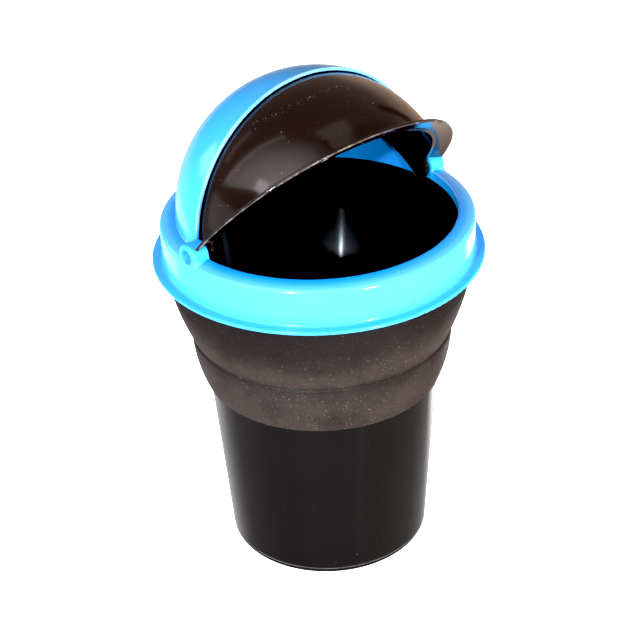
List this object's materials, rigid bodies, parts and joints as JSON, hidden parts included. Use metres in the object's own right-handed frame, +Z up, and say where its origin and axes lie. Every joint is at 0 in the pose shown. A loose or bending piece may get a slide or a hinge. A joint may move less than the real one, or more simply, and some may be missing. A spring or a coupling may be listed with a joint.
{
  "type": "car trash bin",
  "caption": "Small car trash bin: tapered black cup with a matte rubber grip, pushed-on blue collar with a fixed half dome, and a dark spherical lid that swings up under it.",
  "frame": {"origin": "centre of the foot on the surface the bin stands on", "axes": "+Z up along the cup's axis, X along the lid's hinge axis, the mouth opens towards -Y"},
  "size_m": [0.112, 0.112, 0.1744],
  "materials": {
    "cup_black": "gloss",
    "grip_rubber": "matte",
    "collar_blue": "gloss",
    "lid_brown": "gloss"
  },
  "bodies": {
    "bin": {"bin_body": "cup_black", "grip_band": "grip_rubber"},
    "collar": {"hooded_collar": "collar_blue"},
    "lid": {"swing_lid": "lid_brown"}
  },
  "joints": [
    {"name": "collar_lift", "type": "slide", "parent": "bin", "child": "collar", "axis": [0, 0, 1], "range_m": [0, 0.04]},
    {"name": "lid_hinge", "type": "hinge", "parent": "collar", "child": "lid", "pos_m": [0, 0, 0.1276], "axis": [-1, 0, 0], "range_deg": [-50, 42.4]}
  ]
}
